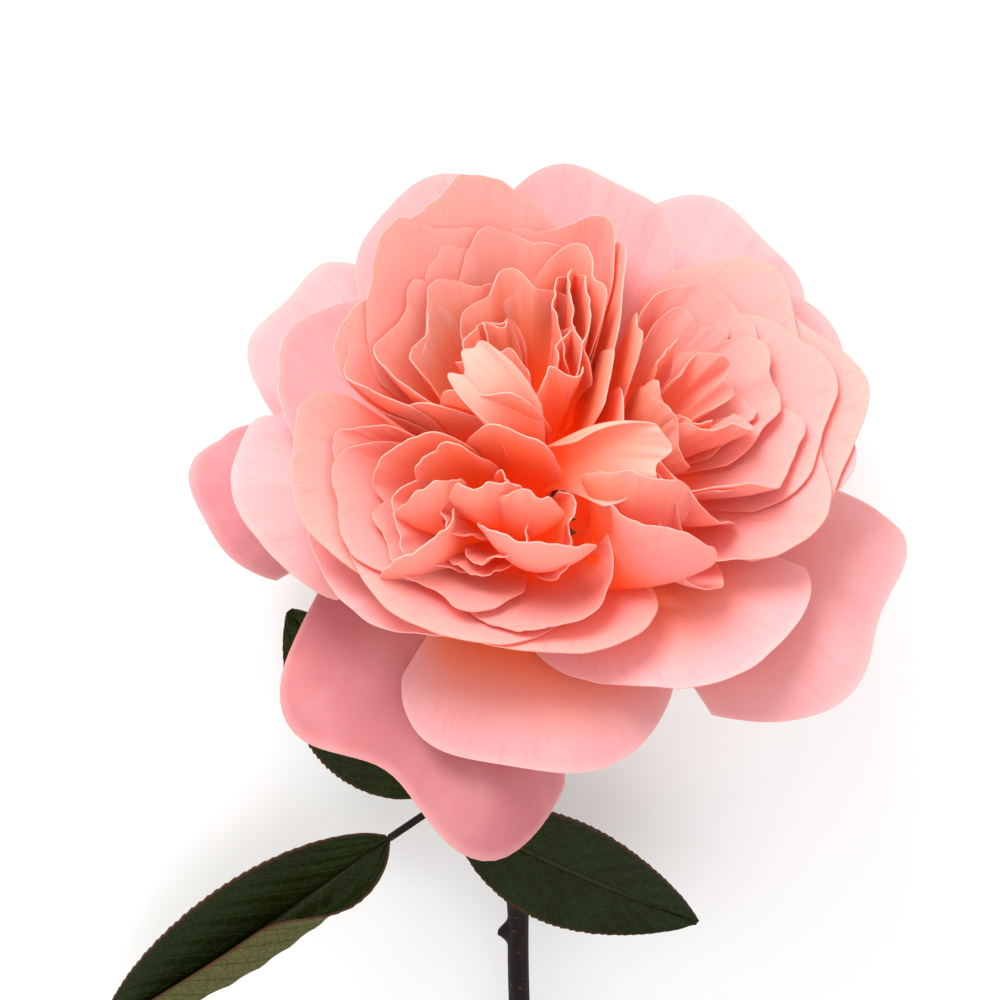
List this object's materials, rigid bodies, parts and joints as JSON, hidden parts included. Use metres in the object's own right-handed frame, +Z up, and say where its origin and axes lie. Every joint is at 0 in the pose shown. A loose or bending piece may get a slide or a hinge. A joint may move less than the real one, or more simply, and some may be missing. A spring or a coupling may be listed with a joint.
{
  "type": "cut rose",
  "caption": "Cut garden rose lying down: a quartered double bloom of pink and peach petals on a hip with sepals, a dark stem with a prickle, and one compound leaf.",
  "frame": {"origin": "middle of the rose's plan, on the table it lies on", "axes": "+Z up from the table; +Y along the stem towards the bloom; +X to the right when seen from above with the bloom away from the viewer"},
  "size_m": [0.1226, 0.2344, 0.069],
  "materials": {
    "guard_petal": "soft matt petal, pink with paler rims and a peach foot, slightly see-through",
    "heart_petal": "soft matt petal, peach to coral, deeper orange at the foot, pale pink rim",
    "calyx": "smooth green skin with a faint red flush",
    "stem": "smooth dark red-brown bark",
    "leaf": "dark green, half-glossy above, olive and matt beneath, with veins"
  },
  "bodies": {
    "root": {"guard_01": "guard_petal", "guard_02": "guard_petal", "guard_03": "guard_petal", "guard_04": "guard_petal", "guard_05": "guard_petal", "guard_06": "guard_petal", "guard_07": "guard_petal", "guard_08": "guard_petal", "guard_09": "guard_petal", "guard_10": "guard_petal", "guard_11": "guard_petal", "guard_12": "guard_petal", "guard_13": "guard_petal", "guard_14": "guard_petal", "upper_01": "heart_petal", "upper_02": "heart_petal", "upper_03": "heart_petal", "upper_04": "heart_petal", "upper_05": "heart_petal", "upper_06": "heart_petal", "upper_07": "heart_petal", "upper_08": "heart_petal", "upper_09": "heart_petal", "upper_10": "heart_petal", "upper_11": "heart_petal", "upper_12": "heart_petal", "right_01": "heart_petal", "right_02": "heart_petal", "right_03": "heart_petal", "right_04": "heart_petal", "right_05": "heart_petal", "right_06": "heart_petal", "right_07": "heart_petal", "right_08": "heart_petal", "right_09": "heart_petal", "right_10": "heart_petal", "right_11": "heart_petal", "right_12": "heart_petal", "right_13": "heart_petal", "lower_01": "heart_petal", "lower_02": "heart_petal", "lower_03": "heart_petal", "lower_04": "heart_petal", "lower_05": "heart_petal", "lower_06": "heart_petal", "lower_07": "heart_petal", "lower_08": "heart_petal", "lower_09": "heart_petal", "lower_10": "heart_petal", "hip": "calyx", "sepal_1": "calyx", "sepal_2": "calyx", "sepal_3": "calyx", "sepal_4": "calyx", "sepal_5": "calyx", "stem": "stem", "leaf_stalk": "stem", "leaflet_end": "leaf", "leaflet_right": "leaf", "leaflet_left": "leaf"}
  },
  "joints": []
}
